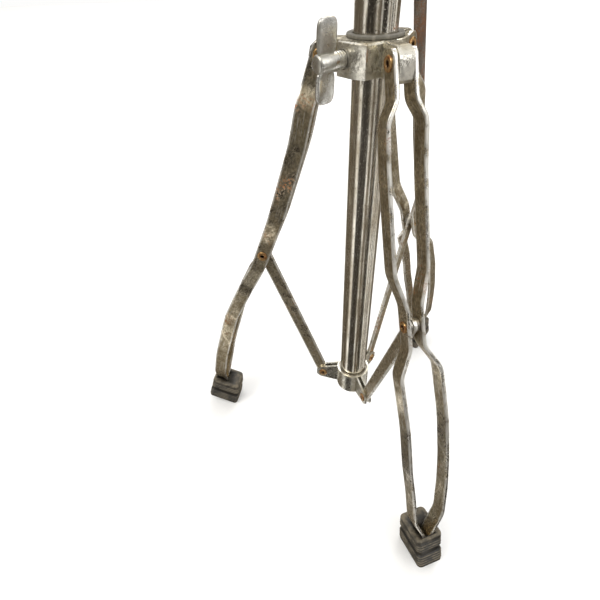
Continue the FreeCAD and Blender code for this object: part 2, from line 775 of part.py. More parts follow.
def boom():
    """The boom rod and the cymbal holder on its upper end."""
    place = tilt_frame().multiply(rod_placement())
    rod = cylinder(d.boom_radius, d.boom_tail + d.boom_head, at(z=-d.boom_tail))
    rounded = doc.addObject("Part::Chamfer", "Chamfer")
    rounded.Base = rod
    doc.recompute()
    rounded.Edges = [(n, 0.8, 0.8) for n, edge in enumerate(rod.Shape.Edges, start=1)
                     if edge.BoundBox.ZLength < 0.01]
    node("boom_rod", rounded, place)

    top = place.multiply(at(z=float(d.boom_head)))
    lift = 17.0
    socket = cylinder(d.boom_radius + 2.8, 24.0, at(z=-18.0))
    disc = serrated(d.holder_disc_radius, d.holder_disc_thickness, -float(d.holder_disc_thickness), 16, 0.7)
    disc.Placement = at(z=lift)
    neck = box(d.holder_disc_thickness - 0.8, 11.0, 14.0, (-float(d.holder_disc_thickness), -5.5, 4.0))
    seat = cylinder(d.boom_radius, 18.0, at(z=-18.0))
    bolt_way = cylinder(d.bolt_shank_radius + 0.05, 40.0, at(-20, 0, lift, Vector(1, 0, 0)))
    node("cymbal_holder_base", cut(fuse(socket, disc, neck), seat, bolt_way), top)

    axis_point = top.multVec(Vector(0, 0, lift))
    upright = Placement(axis_point, tilt_frame().Rotation)
    front = 0.25
    post_x = float(d.holder_post_offset)
    block_top = float(d.holder_block_top)
    plate = cylinder(d.holder_disc_radius, d.holder_disc_thickness, along_x(front))
    block_bottom = float(d.holder_disc_radius) - 3.0
    block = cylinder(d.holder_block_radius, block_top - block_bottom, at(post_x, 0, block_bottom))
    post_hole = cylinder(d.post_radius, 20.0, at(post_x, 0, block_top - 7.0))
    bolt_way = cylinder(d.bolt_shank_radius + 0.05, 40.0, along_x(-20.0))
    node("cymbal_holder_head", cut(fuse(plate, block), post_hole, bolt_way), upright)
    bolt_seat = front + float(d.holder_disc_thickness)
    bolt_place = upright.multiply(Placement(Vector(bolt_seat, 0, 0), Rotation(Vector(1, 0, 0), 60)))
    node("cymbal_holder_wing_bolt", wing_bolt(Size(14.0), d.holder_wing_span), bolt_place)
    add_washer("cymbal_holder_washer", bolt_place)

    post_top = block_top + float(d.post_length)
    post = upright.multiply(at(post_x, 0, 0))
    node("cymbal_post", cylinder(d.post_radius, post_top - block_top + 7.0), post.multiply(at(z=block_top - 7.0)))
    height = block_top
    cup = revolved([
        (d.post_radius + 0.05, 0.0), (8.0, 0.0), (15.0, 1.6), (15.0, 3.2), (8.0, 2.2), (d.post_radius + 0.05, 2.2),
    ])
    node("cymbal_seat", cup, post.multiply(at(z=height)))
    height += 2.2
    sleeve_length = 2 * float(d.felt_height) + 3.2
    node("cymbal_sleeve", ring(d.sleeve_outer, d.post_radius + 0.05, sleeve_length + 1.0),
         post.multiply(at(z=height)))
    height += 1.05
    node("lower_felt", felt(), post.multiply(at(z=height)))
    node("upper_felt", felt(), post.multiply(at(z=height + float(d.felt_height) + 3.1)))
    height += sleeve_length + 0.1
    node("cymbal_top_washer", ring(9.0, d.post_radius + 0.05, 1.5), post.multiply(at(z=height)))
    nut_place = post.multiply(Placement(Vector(0, 0, height + 1.55), Rotation(Vector(0, 1, 0), -90)))
    node("cymbal_wing_nut", wing_nut(d.post_radius + 0.05), nut_place)


def felt():
    return eased(ring(d.felt_radius, d.sleeve_outer + 0.02, d.felt_height), 2.0,
                 lambda edge: edge.BoundBox.ZLength < 0.01 and edge.BoundBox.XLength > 20)


lower_collar()
tubes()
hub()
for leg_letter, leg_azimuth in LEG_AZIMUTHS.items():
    leg(leg_letter, leg_azimuth)
    brace(leg_letter, leg_azimuth, d.rivet_hole if leg_letter == "a" else d.free_pivot_hole)
add_wing_bolt("hub", d.boss_reach, BOLT_AZIMUTH, HUB_HEIGHT, d.boss_reach - d.hub_bore - 0.2, roll=0.0)
clamp("base", d.base_tube_radius, d.middle_tube_radius + 0.05, -150.0, d.base_tube_length, 14.0, 20.0)
clamp("middle", d.middle_tube_radius, d.top_tube_radius + 0.05, -110.0,
      d.middle_tube_bottom + d.middle_tube_length, 14.0, 80.0)
tilter()
boom()


def check_and_export():
    doc.recompute()
    for item in doc.Objects:
        if "Invalid" in item.State or "Error" in item.State:
            raise RuntimeError(f"{item.Name} ({item.Label}) is {item.State}")
    os.makedirs("parts", exist_ok=True)
    for name, item in nodes.items():
        shape = item.Shape
        if shape.isNull() or not shape.isValid():
            raise RuntimeError(f"{name} has no valid shape")
        shape.exportStep(f"parts/{name}.step")
        print(name, "solids", len(shape.Solids), "volume", round(shape.Volume, 1))


check_and_export()
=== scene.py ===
"""Looks of the cymbal boom stand: worn chrome, cast collars, ribbed rubber feet, felts and hardware.

Everything is in metres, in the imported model's frame: the base tube stands on the origin, +Z runs up it.
"""
import json
import math

import bmesh
import bpy
from mathutils import Matrix, Vector, noise


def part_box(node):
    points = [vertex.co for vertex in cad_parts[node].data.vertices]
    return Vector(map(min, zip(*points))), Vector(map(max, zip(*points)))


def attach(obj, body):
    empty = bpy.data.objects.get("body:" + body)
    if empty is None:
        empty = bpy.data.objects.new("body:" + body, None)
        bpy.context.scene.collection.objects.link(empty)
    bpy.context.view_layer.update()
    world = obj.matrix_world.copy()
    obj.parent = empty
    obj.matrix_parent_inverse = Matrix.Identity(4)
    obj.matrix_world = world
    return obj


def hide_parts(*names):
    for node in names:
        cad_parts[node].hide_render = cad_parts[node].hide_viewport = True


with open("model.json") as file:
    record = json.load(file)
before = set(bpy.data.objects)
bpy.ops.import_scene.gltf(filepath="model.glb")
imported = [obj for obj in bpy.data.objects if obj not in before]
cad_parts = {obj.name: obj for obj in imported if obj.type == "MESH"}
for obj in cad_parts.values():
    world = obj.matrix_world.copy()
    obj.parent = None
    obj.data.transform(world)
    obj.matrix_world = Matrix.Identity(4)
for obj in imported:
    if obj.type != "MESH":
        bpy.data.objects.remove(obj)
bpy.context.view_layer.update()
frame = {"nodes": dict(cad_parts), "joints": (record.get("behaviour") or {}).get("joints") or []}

MM = 0.001
JOINTS = {joint["name"]: joint for joint in frame["joints"]}
UP = Vector((0, 0, 1))
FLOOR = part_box("leg_b_foot")[0].z

# Sizes of the drawn pieces, in millimetres; they follow the CAD nodes that the pieces stand for.
STRAP_WIDTH = 14.0
STRAP_THICKNESS = 3.0
STRAP_END_ROUND = 5.0
BAR_EDGE_ROUND = 0.7
BRACE_WIDTH = 12.5
BRACE_THICKNESS = 3.0
FOOT_TOP = 395.0
FOOT_BOTTOM = 434.0
FOOT_WIDTH = 27.0
FOOT_DEPTH = 34.0
FOOT_HEEL = 6.0
FOOT_CORNER = 4.2
FOOT_CROWN = 1.8
FOOT_BASE_ROUND = 4.0
HEEL_BEND = 12.0
RIB_PITCH = 3.3
UPPER_RIBS_START = 5.0
UPPER_RIBS_END = 14.9
UPPER_RIB_DEPTH = 1.7
WAIST_INSET = 1.8
LOWER_RIBS_START = 22.0
LOWER_RIB_DEPTH = 1.6
MOUTH_SIZE = (11.0, 13.0, STRAP_WIDTH + 1.0)
MOUTH_OUT = 6.4
RIVET_BORE = 1.7
RIVET_SHANK = 2.9
RIVET_FLANGE = 4.8
RIVET_FLANGE_HEIGHT = 1.1
RIVET_HOLE = RIVET_SHANK + 0.08
BORE_SHADE = 0.05
RIM_FADE = 0.9
COLLAR_RIVET_GRIP = 3.75
HUB_RIVET_GRIP = 8.25
MIDDLE_RIVET_GRIP = 7.45
DRILL_LENGTH = 60
SHARP_ANGLE = 38


# ---------------------------------------------------------------- places on the frame

def pivot(joint_name):
    """A joint's place and its axis."""
    joint = JOINTS[joint_name]
    return Vector(joint["pos_m"]), Vector(joint["axis"]).normalized()


def axes_matrix(origin, x_axis, y_axis):
    """A frame from an origin and two perpendicular unit vectors."""
    z_axis = x_axis.cross(y_axis)
    columns = Matrix((x_axis, y_axis, z_axis)).transposed().to_4x4()
    return Matrix.Translation(origin) @ columns


HUB_PIVOTS = {"a": "hub_pivot", "b": "leg_b_pivot", "c": "leg_c_pivot"}
BRACE_PIVOTS = {"a": "fold", "b": "brace_b_pivot", "c": "brace_c_pivot"}
LINK = (pivot("leg_a_pivot")[0] - pivot("fold")[0]).length
RISE = (pivot("hub_pivot")[0].z - pivot("fold")[0].z) / 2
SPREAD = math.acos(RISE / LINK)


def leg_matrix(letter):
    """X down the leg from the hub pivot, Y across it, Z outward; in metres."""
    origin, across = pivot(HUB_PIVOTS[letter])
    outward = across.cross(UP)
    down = outward * math.sin(SPREAD) - UP * math.cos(SPREAD)
    return axes_matrix(origin, down, across)


def brace_matrix(letter):
    """X up the brace from the lower pivot to the leg's middle pivot."""
    origin, across = pivot(BRACE_PIVOTS[letter])
    outward = across.cross(UP)
    along = outward * math.sin(SPREAD) + UP * math.cos(SPREAD)
    return axes_matrix(origin, along, across)


def along_axis(origin, axis, roll=0.0):
    """Z along an axis, X kept as level as possible and then rolled."""
    z_axis = axis.normalized()
    level = UP.cross(z_axis)
    x_axis = level.normalized() if level.length > 1e-6 else Vector((1, 0, 0))
    y_axis = z_axis.cross(x_axis)
    turned = Matrix((x_axis, y_axis, z_axis)).transposed().to_4x4()
    return Matrix.Translation(origin) @ turned @ Matrix.Rotation(roll, 4, "Z")


# ---------------------------------------------------------------- mesh making

def mesh_object(name, bm, place, material):
    """Turns a millimetre bmesh into an object in metres with smooth faces."""
    bmesh.ops.recalc_face_normals(bm, faces=bm.faces[:])
    data = bpy.data.meshes.new(name)
    bm.to_mesh(data)
    bm.free()
    data.transform(place @ Matrix.Scale(MM, 4))
    for polygon in data.polygons:
        polygon.use_smooth = True
    data.set_sharp_from_angle(angle=math.radians(SHARP_ANGLE))
    made = bpy.data.objects.new(name, data)
    bpy.context.scene.collection.objects.link(made)
    data.materials.append(material)
    return made


def skin(bm, rings):
    """Fills the faces between neighbouring rings; a ring of one vertex closes to a point."""
    for ring, following in rings:
        sides = max(len(ring), len(following))
        for i in range(sides):
            j = (i + 1) % sides
            corners = [ring[i % len(ring)], ring[j % len(ring)], following[j % len(following)],
                       following[i % len(following)]]
            unique = list(dict.fromkeys(corners))
            if len(unique) > 2:
                bm.faces.new(unique)


def rounded_section(width, thickness, corner, steps=3):
    """Points (a, b, edge) round a bar's section; edge is 1 on its narrow sides and corners."""
    half_a = thickness / 2 - corner
    half_b = width / 2 - corner
    points = []
    for sign_a, sign_b, start in ((1, 1, 0), (-1, 1, 90), (-1, -1, 180), (1, -1, 270)):
        arc = []
        for i in range(steps + 1):
            turn = math.radians(start + 90 * i / steps)
            across = sign_a * half_a + corner * math.cos(turn)
            along = sign_b * half_b + corner * math.sin(turn)
            arc.append((across, along, 1.0))
        inner = (sign_a * (half_a + corner), sign_b * (half_b - corner * 1.6), 0.0)
        if sign_a * sign_b > 0:
            points.append(inner)
            points.extend(arc)
        else:
            points.extend(arc)
            points.append(inner)
    return points


def smooth_line(stations, step=1.5, spread=4.5):
    """Evenly spaced (u, v) along a polyline, with its corners eased by a bell-shaped average."""
    first, last = stations[0][0], stations[-1][0]
    count = int((last - first) / step)
    samples = [first + (last - first) * i / count for i in range(count + 1)]

    def height(u):
        for (u0, v0), (u1, v1) in zip(stations, stations[1:]):
            if u <= u1:
                return v0 + (v1 - v0) * max(0.0, u - u0) / (u1 - u0)
        return stations[-1][1]

    offsets = [k * spread / 3 for k in range(-8, 9)]
    weights = [math.exp(-(o / spread) ** 2 / 2) for o in offsets]
    total = sum(weights)
    return [(u, sum(w * height(u + o) for w, o in zip(weights, offsets)) / total) for u in samples]


def bar(line, width, thickness, round_end, sweep=None, end_round=None):
    """A flat bar swept along (u, v) points, round at its start and, where asked, at its end.

    The sweep moves it along its width.
    """
    section = rounded_section(width, thickness, BAR_EDGE_ROUND)
    half = width / 2
    radius = end_round or half
    start, end = line[0][0], line[-1][0]
    near = [radius * (1 - math.cos(math.pi / 2 * k / 7)) for k in range(8)]
    stops = [p[0] for p in line if start + radius < p[0] < end - radius]
    stops = [start + n for n in near] + stops
    if round_end:
        stops = stops + [end - n for n in reversed(near)]
    else:
        stops = stops + [end]

    def place_at(u, points):
        for (u0, v0), (u1, v1) in zip(points, points[1:]):
            if u <= u1 + 1e-9:
                share = (u - u0) / (u1 - u0)
                return v0 + (v1 - v0) * share, math.atan2(v1 - v0, u1 - u0)
        return points[-1][1], 0.0

    def reach_at(distance):
        inside = max(0.0, radius ** 2 - (radius - distance) ** 2)
        return max(0.2, half - radius + math.sqrt(inside))

    bm = bmesh.new()
    edge_layer = bm.verts.layers.float.new("edge")
    run_layer = bm.verts.layers.float_vector.new("run")
    rings = []
    for u in stops:
        v, lean = place_at(u, line)
        out = place_at(u, sweep)[0] if sweep else 0.0
        reach = half
        if u < start + radius:
            reach = reach_at(u - start)
        if round_end and u > end - radius:
            reach = reach_at(end - u)
        ring = []
        for a, b, edge in section:
            vertex = bm.verts.new((u - a * math.sin(lean), v + a * math.cos(lean), out + b * reach / half))
            vertex[edge_layer] = 1.0 if reach < half * 0.99 and edge > 0.5 else edge
            vertex[run_layer] = Vector((u * MM, a * MM, b * MM))
            ring.append(vertex)
        rings.append(ring)
    skin(bm, zip(rings, rings[1:]))
    bm.faces.new(rings[0])
    bm.faces.new(list(reversed(rings[-1])))
    return bm


def lathe(profile, segments=40, closed=True):
    """Turns (r, z) points about Z; an open profile starts and ends on the axis."""
    bm = bmesh.new()
    rings = []
    for r, z in profile:
        if r < 1e-6:
            rings.append([bm.verts.new((0, 0, z))])
            continue
        turns = [2 * math.pi * i / segments for i in range(segments)]
        rings.append([bm.verts.new((r * math.cos(t), r * math.sin(t), z)) for t in turns])
    pairs = list(zip(rings, rings[1:]))
    if closed:
        pairs.append((rings[-1], rings[0]))
    skin(bm, pairs)
    return bm


def merged(parts):
    """Joins (bmesh, matrix) pairs into one bmesh."""
    whole = bmesh.new()
    for part, place in parts:
        part.transform(place)
        data = bpy.data.meshes.new("part")
        part.to_mesh(data)
        part.free()
        whole.from_mesh(data)
        bpy.data.meshes.remove(data)
    return whole


def paddle(centre, half_width, half_thickness, half_height, squareness):
    """A flat rounded wing as a superellipsoid, in the plane of X and Z."""
    bm = bmesh.new()
    rows, columns = 28, 44
    face_flatness = 0.32
    rim_squareness = 0.62

    def power(value, exponent):
        return math.copysign(abs(value) ** exponent, value)

    rings = []
    for i in range(rows + 1):
        rise = math.pi * (i / rows - 0.5)
        if i in (0, rows):
            rings.append([bm.verts.new((0, math.copysign(half_thickness, rise), 0))])
            continue
        ring = []
        for j in range(columns):
            turn = 2 * math.pi * j / columns
            flat = power(math.cos(rise), face_flatness)
            ring.append(bm.verts.new((
                half_width * flat * power(math.cos(turn), squareness),
                half_thickness * power(math.sin(rise), rim_squareness),
                half_height * flat * power(math.sin(turn), squareness),
            )))
        rings.append(ring)
    skin(bm, zip(rings, rings[1:]))
    bm.transform(Matrix.Translation(Vector(centre)))
    return bm


def cut_away(target, cutter_bm, place):
    """Cuts a millimetre bmesh out of an object, and applies the result."""
    cutter = mesh_object("cutter", cutter_bm, place, target.data.materials[0])
    modifier = target.modifiers.new("boolean", "BOOLEAN")
    modifier.operation = "DIFFERENCE"
    modifier.solver = "EXACT"
    modifier.object = cutter
    apply_modifiers(target)
    bpy.data.objects.remove(cutter)


def apply_modifiers(target):
    """Puts the modifiers' result in place of an object's mesh."""
    graph = bpy.context.evaluated_depsgraph_get()
    result = bpy.data.meshes.new_from_object(target.evaluated_get(graph))
    old = target.data
    target.modifiers.clear()
    target.data = result
    bpy.data.meshes.remove(old)
    target.data.name = target.name


def hole(radius, length):
    """A plain cylinder along Z, to cut with."""
    half = length / 2
    return lathe([(0, -half), (radius, -half), (radius, half), (0, half)], closed=False)


# ---------------------------------------------------------------- materials

class Shader:
    """A small builder for one material's nodes."""

    def __init__(self, name):
        self.material = bpy.data.materials.new(name)
        self.material.use_nodes = True
        self.tree = self.material.node_tree
        self.surface = self.tree.nodes["Principled BSDF"]
        self.place = self.tree.nodes.new("ShaderNodeTexCoord").outputs["Object"]

    def node(self, kind, **inputs):
        """Adds a node with its sockets linked or set; a socket's spaces are written as underscores."""
        made = self.tree.nodes.new(kind)
        for name, value in inputs.items():
            self.feed(made.inputs[name.replace("_", " ")], value)
        return made

    def feed(self, socket, value):
        """Links another node's output to a socket, or sets its constant."""
        if isinstance(value, bpy.types.NodeSocket):
            self.tree.links.new(value, socket)
        elif socket.type == "RGBA" and len(value) == 3:
            socket.default_value = (*value, 1.0)
        else:
            socket.default_value = value

    def stretched(self, scale, source=None):
        """The place, scaled per axis."""
        made = self.node("ShaderNodeMapping", Vector=source or self.place, Scale=scale)
        return made.outputs["Vector"]

    def attribute(self, name):
        """A node that reads a named mesh attribute."""
        made = self.tree.nodes.new("ShaderNodeAttribute")
        made.attribute_name = name
        return made

    def noise(self, scale, detail=4.0, roughness=0.55, source=None, distortion=0.0):
        made = self.node("ShaderNodeTexNoise", Vector=source or self.place, Scale=scale, Detail=detail,
                         Roughness=roughness, Distortion=distortion)
        return made.outputs["Fac"]

    def cells(self, scale):
        made = self.node("ShaderNodeTexVoronoi", Vector=self.place, Scale=scale, Randomness=1.0)
        return made.outputs["Distance"]

    def span(self, value, low, high, to_low=0.0, to_high=1.0):
        """Maps low..high onto to_low..to_high, smoothly and clamped."""
        made = self.tree.nodes.new("ShaderNodeMapRange")
        made.interpolation_type = "SMOOTHSTEP"
        for index, number in enumerate((value, low, high, to_low, to_high)):
            self.feed(made.inputs[index], number)
        return made.outputs["Result"]

    def math(self, operation, a, b=0.0):
        made = self.tree.nodes.new("ShaderNodeMath")
        made.operation = operation
        self.feed(made.inputs[0], a)
        self.feed(made.inputs[1], b)
        return made.outputs["Value"]

    def mix(self, share, a, b):
        made = self.tree.nodes.new("ShaderNodeMix")
        made.data_type = "RGBA"
        self.feed(made.inputs["Factor"], share)
        self.feed(made.inputs["A"], a)
        self.feed(made.inputs["B"], b)
        return made.outputs["Result"]

    def bump(self, height, distance, strength=1.0, under=None):
        made = self.node("ShaderNodeBump", Height=height, Distance=distance, Strength=strength)
        if under is not None:
            self.feed(made.inputs["Normal"], under)
        return made.outputs["Normal"]

    def finish(self, **inputs):
        """Feeds the surface's sockets and gives the material."""
        for name, value in inputs.items():
            self.feed(self.surface.inputs[name.replace("_", " ")], value)
        return self.material


def worn_chrome(name, bright, dull, rust_amount, pits, gloss, haze, streak=None, edges=False, scratched=None):
    """Old plating: bright and dull patches, pits, rust specks, slanting scratches, and narrow edges painted
    pale, both for rubbed plating and as a painted highlight.

    Gloss and haze are the roughness of the bright and the dull patches.
    """
    s = Shader(name)
    source = streak(s) if streak else s.place
    patches = s.noise(38, 5, 0.6)
    smears = s.noise(150, 4, 0.6, source=source)
    speckle = s.noise(850, 3, 0.65)
    grain = s.noise(2600, 2, 0.6)
    blotches = s.math("ADD", s.math("MULTIPLY", patches, 0.55), s.math("MULTIPLY", smears, 0.45))
    dullness = s.span(blotches, 0.38, 0.62)
    colour = s.mix(dullness, bright, dull)
    dark_specks = s.span(speckle, 0.60, 0.70)
    mottle = s.span(s.noise(560, 3, 0.6, source=source), 0.40, 0.60)
    colour = s.mix(s.math("MULTIPLY", mottle, pits * 0.7), colour, tuple(tone * 0.42 for tone in dull))
    colour = s.mix(s.math("MULTIPLY", dark_specks, pits), colour, (0.030, 0.023, 0.014))
    if scratched:
        lines = s.noise(1100, 2, 0.5, source=scratched(s))
        where = s.span(s.noise(30, 3), 0.45, 0.58)
        scratches = s.math("MULTIPLY", s.span(lines, 0.60, 0.68), where)
        colour = s.mix(s.math("MULTIPLY", scratches, 0.8), colour, (0.85, 0.82, 0.74))
    rust_field = s.noise(24, 4, 0.6, distortion=0.4)
    rust_where = s.span(rust_field, 0.66 - rust_amount * 0.16, 0.76 - rust_amount * 0.1)
    rust_specks = s.span(s.noise(520, 5, 0.7), 0.50, 0.60)
    rust = s.math("MULTIPLY", rust_where, rust_specks)
    rust_tone = s.mix(s.noise(900, 2), (0.20, 0.075, 0.022), (0.42, 0.17, 0.05))
    if edges:
        edge = s.attribute("edge").outputs["Fac"]
        # Narrow sides and corners painted pale in patches: partly rubbed plating, partly a painted highlight
        # on the thin edges.
        edge_wear_and_highlight = s.math("MULTIPLY", edge, s.span(smears, 0.30, 0.52))
        colour = s.mix(s.math("MULTIPLY", edge_wear_and_highlight, 0.9), colour, (0.90, 0.88, 0.82))
    colour = s.mix(rust, colour, rust_tone)
    roughness = s.math("ADD", s.span(dullness, 0.0, 1.0, gloss, haze), s.math("MULTIPLY", speckle, 0.12))
    roughness = s.math("ADD", roughness, s.math("MULTIPLY", rust, 0.35))
    metal = s.math("SUBTRACT", 1.0, s.math("MULTIPLY", rust, 0.85))
    fine = s.bump(grain, 0.00004, 0.5)
    pitted = s.bump(s.math("SUBTRACT", 1.0, dark_specks), 0.00012 * pits, 0.8, under=fine)
    waves = s.bump(s.noise(70, 2, source=source), 0.0006, 0.25, under=pitted)
    return s.finish(Base_Color=colour, Metallic=metal, Roughness=roughness, Normal=waves)


def along_run(s):
    """Strap marks stretch along the bar."""
    return s.stretched((0.7, 1.0, 1.0), s.attribute("run").outputs["Vector"])


def slanting(s):
    """Scratches lie across the strap at a slant."""
    made = s.node("ShaderNodeMapping", Vector=s.attribute("run").outputs["Vector"], Rotation=(0.0, 1.0, 0.0),
                  Scale=(0.05, 1.0, 1.0))
    return made.outputs["Vector"]


def tube_streaks_and_reflection(s):
    """Tube marks stretch up the tube: partly polish streaks, partly painted reflection stripes running up it.
    """
    return s.stretched((1.0, 1.0, 0.06))


def strap_plating(name):
    """Strap plating: brown-olive, with fine slanting scratches over the pits."""
    return worn_chrome(name, (0.74, 0.655, 0.49), (0.36, 0.295, 0.19), 0.70, pits=0.80, gloss=0.18, haze=0.44,
                       streak=along_run, edges=True, scratched=slanting)


def cast_metal(name, bright, dull):
    """Polished die-casting gone creamy, with raised edges painted pale for wear and as a painted highlight,
    and painted shade in the hollows.
    """
    wear_and_highlight = (0.86, 0.84, 0.78)
    s = Shader(name)
    patches = s.noise(60, 4, 0.6)
    grain = s.noise(700, 4, 0.6)
    smudge = s.noise(210, 4, 0.6, distortion=0.6)
    pores = s.span(s.cells(420), 0.0, 0.16)
    colour = s.mix(s.span(patches, 0.40, 0.62), bright, dull)
    colour = s.mix(s.span(smudge, 0.48, 0.66, 0.0, 0.65), colour, (0.20, 0.165, 0.105))
    hollow = s.node("ShaderNodeNewGeometry").outputs["Pointiness"]
    # Hollows darkened by curvature: painted shade.
    colour = s.mix(s.span(hollow, 0.50, 0.44, 0.0, 0.7), colour, (0.10, 0.085, 0.06))
    # Raised edges painted pale: partly wear, partly a painted highlight.
    colour = s.mix(s.span(hollow, 0.515, 0.56, 0.0, 0.6), colour, wear_and_highlight)
    colour = s.mix(s.math("MULTIPLY", s.span(grain, 0.60, 0.72), 0.45), colour, (0.12, 0.10, 0.075))
    roughness = s.span(patches, 0.35, 0.65, 0.20, 0.40)
    ripple = s.bump(s.noise(150, 3), 0.0012, 0.55)
    normal = s.bump(pores, 0.00008, 0.5, under=ripple)
    return s.finish(Base_Color=colour, Metallic=0.92, Roughness=roughness, Normal=normal)


def rusted_steel(name):
    """Bare steel rod gone brown, rusted in patches, smoother where it is not rusted."""
    s = Shader(name)
    long_marks = s.noise(200, 4, 0.6, source=s.stretched((1.0, 1.0, 0.08)))
    patches = s.noise(55, 5, 0.65)
    crust = s.noise(1100, 4, 0.7)
    rust = s.span(s.math("ADD", s.math("MULTIPLY", patches, 0.6), s.math("MULTIPLY", crust, 0.4)), 0.44, 0.60)
    steel = s.mix(s.span(long_marks, 0.35, 0.65), (0.30, 0.27, 0.23), (0.14, 0.115, 0.09))
    brown = s.mix(s.span(crust, 0.35, 0.65), (0.07, 0.035, 0.018), (0.19, 0.085, 0.035))
    colour = s.mix(rust, steel, brown)
    roughness = s.span(rust, 0.0, 1.0, 0.34, 0.80)
    metal = s.span(rust, 0.0, 1.0, 1.0, 0.15)
    normal = s.bump(crust, 0.00018, 0.7, under=s.bump(long_marks, 0.0001, 0.4))
    return s.finish(Base_Color=colour, Metallic=metal, Roughness=roughness, Normal=normal)


def rubber_dust_and_lit_crests(name):
    """Black-brown rubber, dust caught on its top, and a painted highlight on the crests of its ribs against
    darker grooves.
    """
    s = Shader(name)
    crest = s.attribute("crest").outputs["Fac"]
    clouds = s.noise(120, 5, 0.65)
    specks = s.noise(1500, 3, 0.7)
    base = s.mix(s.span(clouds, 0.35, 0.65), (0.007, 0.006, 0.004), (0.022, 0.018, 0.012))
    # Paled where the crest value is high: dust on the top, and a painted highlight on the rib crests.
    crest_dust_and_highlight = s.math("MULTIPLY", s.span(crest, 0.25, 0.95), s.span(clouds, 0.38, 0.60, 0.3, 1.0))
    colour = s.mix(s.math("MULTIPLY", crest_dust_and_highlight, 0.60), base, (0.30, 0.25, 0.17))
    colour = s.mix(s.span(specks, 0.64, 0.74, 0.0, 0.4), colour, (0.32, 0.27, 0.19))
    roughness = s.span(crest_dust_and_highlight, 0.0, 1.0, 0.48, 0.85)
    normal = s.bump(specks, 0.0001, 0.6, under=s.bump(clouds, 0.0003, 0.4))
    return s.finish(Base_Color=colour, Metallic=0.0, Roughness=roughness, Normal=normal)


def felt_cloth(name):
    """Pressed wool: mottled dark grey with pale stray fibres."""
    s = Shader(name)
    fibres = s.noise(1500, 5, 0.75, distortion=1.2)
    tufts = s.noise(260, 4, 0.6)
    colour = s.mix(s.span(tufts, 0.35, 0.65), (0.035, 0.035, 0.038), (0.085, 0.083, 0.082))
    colour = s.mix(s.span(fibres, 0.60, 0.72, 0.0, 0.7), colour, (0.26, 0.25, 0.24))
    normal = s.bump(fibres, 0.0004, 0.9, under=s.bump(tufts, 0.0008, 0.5))
    s.surface.inputs["Sheen Weight"].default_value = 0.5
    s.surface.inputs["Sheen Roughness"].default_value = 0.6
    return s.finish(Base_Color=colour, Metallic=0.0, Roughness=0.95, Normal=normal)


def moulded_plastic(name, tone, pale):
    """Nylon: faint mould grain, scuffs and dust."""
    s = Shader(name)
    scuffs = s.noise(180, 4, 0.6, source=s.stretched((1.0, 1.0, 0.35)))
    grain = s.noise(1900, 3, 0.6)
    colour = s.mix(s.span(scuffs, 0.45, 0.70), tone, pale)
    roughness = s.span(scuffs, 0.35, 0.65, 0.38, 0.62)
    normal = s.bump(grain, 0.00005, 0.5)
    return s.finish(Base_Color=colour, Metallic=0.0, Roughness=roughness, Normal=normal)


def brass_tarnish_and_bore_shade(name):
    """Rivet metal: copper-brown with golden rubbed rims, and painted shade darkening the bore."""
    s = Shader(name)
    patches = s.noise(330, 4, 0.65)
    specks = s.noise(1600, 3, 0.6)
    colour = s.mix(s.span(patches, 0.38, 0.62), (0.62, 0.40, 0.17), (0.30, 0.135, 0.055))
    colour = s.mix(s.span(specks, 0.60, 0.70, 0.0, 0.8), colour, (0.05, 0.03, 0.018))
    crest = s.attribute("crest").outputs["Fac"]
    # Painted shade: the bore and the inside of its rim darkened.
    colour = s.mix(s.span(crest, 0.0, 1.0, 0.75, 0.0), colour, (0.055, 0.035, 0.022))
    roughness = s.span(patches, 0.35, 0.65, 0.25, 0.50)
    normal = s.bump(specks, 0.00008, 0.6)
    return s.finish(Base_Color=colour, Metallic=0.95, Roughness=roughness, Normal=normal)


# The tube's bright and dull streaks up its length are partly painted reflection stripes.
CHROME_TUBE = worn_chrome("tube_chrome", (0.84, 0.80, 0.71), (0.50, 0.44, 0.34), 0.26, pits=0.55, gloss=0.05,
                          haze=0.16, streak=tube_streaks_and_reflection)
STRAP = strap_plating("strap_chrome")
COLLAR = worn_chrome("collar_chrome", (0.84, 0.82, 0.74), (0.50, 0.46, 0.36), 0.30, pits=0.4, gloss=0.18,
                     haze=0.38)
WING = worn_chrome("wing_chrome", (0.84, 0.83, 0.79), (0.56, 0.54, 0.48), 0.15, pits=0.25, gloss=0.12,
                   haze=0.30)
HARDWARE = worn_chrome("hardware_plate", (0.50, 0.48, 0.43), (0.22, 0.19, 0.15), 0.35, pits=0.5, gloss=0.24,
                       haze=0.44)
CAST = cast_metal("cast_cream", (0.80, 0.76, 0.64), (0.44, 0.385, 0.27))
RUST = rusted_steel("rusted_steel")
RUBBER = rubber_dust_and_lit_crests("rubber_dust_and_lit_crests")
FELT = felt_cloth("pressed_felt")
BUSHING = moulded_plastic("grey_nylon", (0.13, 0.12, 0.095), (0.30, 0.275, 0.225))
SLEEVE = moulded_plastic("black_nylon", (0.018, 0.018, 0.018), (0.06, 0.06, 0.058))
BRASS = brass_tarnish_and_bore_shade("brass_tarnish_and_bore_shade")


# ---------------------------------------------------------------- CAD nodes that stay

def dressed(node_name, material, bevel_mm):
    """Gives a CAD node its material and, unless the bevel is 0, eased edges."""
    node = frame["nodes"][node_name]
    for slot in node.material_slots:
        slot.material = material
    if not node.material_slots:
        node.data.materials.append(material)
    if bevel_mm <= 0:
        return
    weld = node.modifiers.new("weld", "WELD")
    weld.merge_threshold = 0.004 * MM
    flat = node.modifiers.new("flat", "DECIMATE")
    flat.decimate_type = "DISSOLVE"
    flat.angle_limit = math.radians(0.4)
    bevel = node.modifiers.new("bevel", "BEVEL")
    bevel.width = bevel_mm * MM
    bevel.segments = 2
    bevel.limit_method = "ANGLE"
    bevel.angle_limit = math.radians(32)
    bevel.use_clamp_overlap = True
    normals = node.modifiers.new("normals", "WEIGHTED_NORMAL")
    normals.keep_sharp = False


